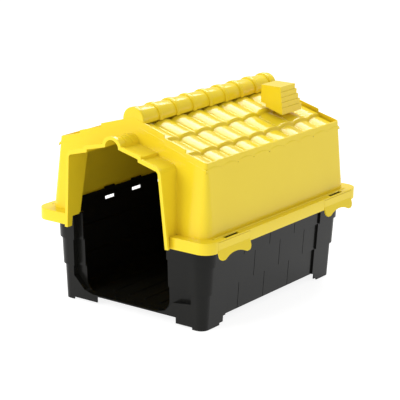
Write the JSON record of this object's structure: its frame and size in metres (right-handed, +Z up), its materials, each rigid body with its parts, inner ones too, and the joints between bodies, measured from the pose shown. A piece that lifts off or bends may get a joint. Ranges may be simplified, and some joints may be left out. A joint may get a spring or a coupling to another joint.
{
  "type": "pet kennel",
  "caption": "Small moulded plastic pet kennel: a brick-relief tub with an open doorway under a lift-off tiled hood with porch, chimney and snap latches.",
  "frame": {"origin": "centre of the kennel's footprint box on the ground", "axes": "+X to the right seen from in front of the doorway, +Y from the doorway to the back, +Z up"},
  "size_m": [0.467, 0.6164, 0.4476],
  "materials": {
    "hood_yellow": "satin moulded polypropylene",
    "tub_black": "satin moulded polypropylene"
  },
  "bodies": {
    "tub": {"floor_pan": "tub_black", "wall_left": "tub_black", "wall_right": "tub_black", "wall_rear": "tub_black", "front_panel_left": "tub_black", "front_panel_right": "tub_black", "post_front_left": "tub_black", "post_front_right": "tub_black", "post_rear_left": "tub_black", "post_rear_right": "tub_black", "rim_left": "tub_black", "rim_right": "tub_black", "rim_rear": "tub_black", "rim_front_left": "tub_black", "rim_front_right": "tub_black"},
    "hood": {"hood_wall_left": "hood_yellow", "hood_wall_right": "hood_yellow", "hood_wall_front": "hood_yellow", "hood_wall_rear": "hood_yellow", "roof_left": "hood_yellow", "roof_right": "hood_yellow", "ridge_caps": "hood_yellow", "chimney": "hood_yellow", "porch_jamb_left": "hood_yellow", "porch_jamb_right": "hood_yellow", "porch_roof": "hood_yellow", "ledge_left": "hood_yellow", "ledge_right": "hood_yellow", "ledge_rear": "hood_yellow", "ledge_front_left": "hood_yellow", "ledge_front_right": "hood_yellow", "skirt_left": "hood_yellow", "skirt_right": "hood_yellow", "skirt_rear": "hood_yellow", "skirt_front_left": "hood_yellow", "skirt_front_right": "hood_yellow"},
    "latch_front_left": {"latch_front_left": "hood_yellow"},
    "latch_front_right": {"latch_front_right": "hood_yellow"},
    "latch_rear_left": {"latch_rear_left": "hood_yellow"},
    "latch_rear_right": {"latch_rear_right": "hood_yellow"}
  },
  "joints": [
    {"name": "hood_lift", "type": "slide", "parent": "tub", "child": "hood", "axis": [0, 0, 1], "range_m": [0, 0.2]},
    {"name": "latch_front_left_flex", "type": "hinge", "parent": "hood", "child": "latch_front_left", "pos_m": [-0.226, -0.19128, 0.203], "axis": [0, 1, 0], "range_deg": [0, 8], "stiffness_Nm_per_rad": 0.6},
    {"name": "latch_front_right_flex", "type": "hinge", "parent": "hood", "child": "latch_front_right", "pos_m": [0.226, -0.19128, 0.203], "axis": [0, -1, 0], "range_deg": [0, 8], "stiffness_Nm_per_rad": 0.6},
    {"name": "latch_rear_left_flex", "type": "hinge", "parent": "hood", "child": "latch_rear_left", "pos_m": [-0.226, 0.21672, 0.203], "axis": [0, 1, 0], "range_deg": [0, 8], "stiffness_Nm_per_rad": 0.6},
    {"name": "latch_rear_right_flex", "type": "hinge", "parent": "hood", "child": "latch_rear_right", "pos_m": [0.226, 0.21672, 0.203], "axis": [0, -1, 0], "range_deg": [0, 8], "stiffness_Nm_per_rad": 0.6}
  ]
}
